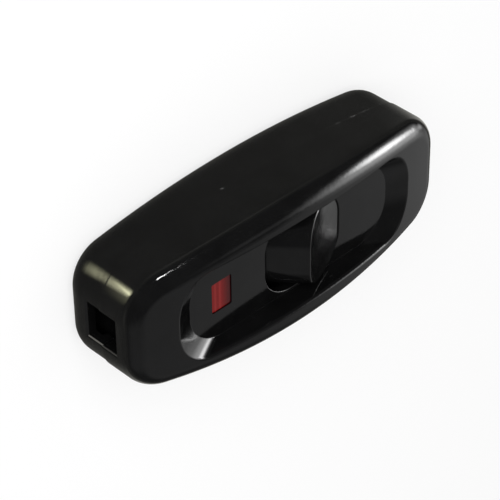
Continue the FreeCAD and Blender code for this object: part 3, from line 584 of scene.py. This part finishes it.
def whiten(finish, share):
    """The camera sees a share of plain white, so that shadows on the finish stay faint."""
    rays = finish.node("ShaderNodeLightPath")
    seen = finish.node("ShaderNodeMath", operation="MULTIPLY")
    seen.inputs[1].default_value = share
    finish.join(rays.outputs["Is Camera Ray"], seen.inputs[0])
    both = finish.node("ShaderNodeMixShader")
    finish.join(seen.outputs[0], both.inputs["Fac"])
    finish.join(finish.shader.outputs[0], both.inputs[1])
    finish.join(finish.node("ShaderNodeEmission").outputs[0], both.inputs[2])
    finish.join(both.outputs[0], finish.tree.nodes["Material Output"].inputs["Surface"])


def make_floor():
    """The pale floor under the part."""
    floor = plane("floor", FLOOR_SIZE, FLOOR_SIZE)
    floor.location.z = -FLOOR_DROP
    finish = Finish("floor", 0.9)
    finish.shades(finish.grain(FLOOR_CLOUD), FLOOR_PALE, FLOOR_PALER)
    finish.shader.inputs["Specular IOR Level"].default_value = 0.0
    whiten(finish, FLOOR_WHITE_SHARE)
    floor.data.materials.append(finish.material)


def glow(card, strength, core, tint):
    """A glow that fades from the middle of the card to its edges."""
    material = bpy.data.materials.new(card.name)
    material.use_nodes = True
    nodes = material.node_tree.nodes
    links = material.node_tree.links
    nodes.clear()
    place = nodes.new("ShaderNodeTexCoord")
    spread = nodes.new("ShaderNodeMapping")
    spread.inputs["Scale"].default_value = (2 / card.dimensions.x, 2 / card.dimensions.y, 1)
    links.new(place.outputs["Object"], spread.inputs["Vector"])
    middle = nodes.new("ShaderNodeTexGradient")
    middle.gradient_type = "SPHERICAL"
    links.new(spread.outputs["Vector"], middle.inputs["Vector"])
    fade = nodes.new("ShaderNodeMapRange")
    fade.interpolation_type = "SMOOTHSTEP"
    fade.inputs["From Max"].default_value = 1 - core
    fade.inputs["To Max"].default_value = strength
    links.new(middle.outputs["Fac"], fade.inputs["Value"])
    emission = nodes.new("ShaderNodeEmission")
    emission.inputs["Color"].default_value = (*tint, 1.0)
    links.new(fade.outputs["Result"], emission.inputs["Strength"])
    both = nodes.new("ShaderNodeAddShader")
    links.new(emission.outputs[0], both.inputs[0])
    links.new(nodes.new("ShaderNodeBsdfTransparent").outputs[0], both.inputs[1])
    links.new(both.outputs[0], nodes.new("ShaderNodeOutputMaterial").inputs["Surface"])
    card.data.materials.append(material)


def seen_in_gloss_only(item):
    """A card that shows in reflections and nowhere else."""
    item.visible_camera = False
    item.visible_diffuse = False
    item.visible_transmission = False
    item.visible_shadow = False


def card_span(half_angle):
    """The size of a card that fills an angle to each side, as seen from the part."""
    return 2 * CARD_DISTANCE * math.tan(math.radians(half_angle))


def make_cards():
    """The soft boxes that the gloss reflects."""
    middle = (cad_box[0] + cad_box[1]) / 2
    for name, (azimuth, elevation, half_width, half_height, roll, strength, core) in CARDS.items():
        card = plane(name, card_span(half_width), card_span(half_height))
        toward = direction(azimuth, elevation)
        card.matrix_world = facing_matrix(-toward, roll, middle + toward * CARD_DISTANCE)
        glow(card, strength, core, NEUTRAL)
        seen_in_gloss_only(card)


def make_floor_cards():
    """Patches of light that lie on the floor beside the part."""
    for name, (middle, size, turn, strength, tint) in FLOOR_CARDS.items():
        card = plane(name, size[0] * MM, size[1] * MM)
        card.location = (middle[0] * MM, middle[1] * MM, FLOOR_CARD_LIFT)
        card.rotation_euler.z = math.radians(turn)
        glow(card, strength, FLOOR_CARD_CORE, tint)
        seen_in_gloss_only(card)


def make_flag():
    """A dark card on the floor, so that the sides don't mirror the pale floor."""
    flag = plane("floor_flag", FLOOR_SIZE, FLOOR_SIZE)
    flag.location.z = FLAG_LIFT
    material = bpy.data.materials.new("floor_flag")
    material.use_nodes = True
    shader = material.node_tree.nodes["Principled BSDF"]
    shader.inputs["Base Color"].default_value = (0, 0, 0, 1)
    shader.inputs["Specular IOR Level"].default_value = 0.0
    shader.inputs["Emission Color"].default_value = (*PALE, 1.0)
    shader.inputs["Emission Strength"].default_value = FLAG_GREY
    flag.data.materials.append(material)
    seen_in_gloss_only(flag)


def soft_lamp(name, settings):
    """A square lamp that lights the part but doesn't show in its gloss."""
    azimuth, elevation, distance, size, power = settings
    lamp = bpy.data.lights.new(name, "AREA")
    lamp.size = size
    lamp.energy = power
    toward = direction(azimuth, elevation)
    item = linked(name, lamp)
    item.matrix_world = facing_matrix(toward, 0, toward * distance)
    item.visible_glossy = False


def make_lamps():
    """Two large soft lamps and a dim grey room."""
    soft_lamp("top_lamp", TOP_LAMP)
    soft_lamp("front_lamp", FRONT_LAMP)
    world = bpy.data.worlds.new("room")
    world.use_nodes = True
    background = world.node_tree.nodes["Background"]
    background.inputs["Color"].default_value = (WORLD_GREY, WORLD_GREY, WORLD_GREY, 1.0)
    bpy.context.scene.world = world


def make_camera():
    """The camera at the photograph's angle."""
    toward = direction(CAMERA_AZIMUTH, CAMERA_ELEVATION)
    right, up = facing_axes(toward, CAMERA_ROLL)
    place = toward * CAMERA_DISTANCE + right * CAMERA_OFFSET_RIGHT + up * CAMERA_OFFSET_UP
    camera = bpy.data.cameras.new("camera")
    camera.sensor_width = SENSOR
    camera.lens = LENS
    camera.clip_start = CAMERA_CLIP
    item = linked("camera", camera)
    item.matrix_world = facing_matrix(toward, CAMERA_ROLL, place)
    bpy.context.scene.camera = item


dress_nodes()
make_spring()
make_floor()
make_lamps()
make_flag()
make_cards()
make_floor_cards()
make_camera()
bpy.context.scene.view_settings.view_transform = "Standard"
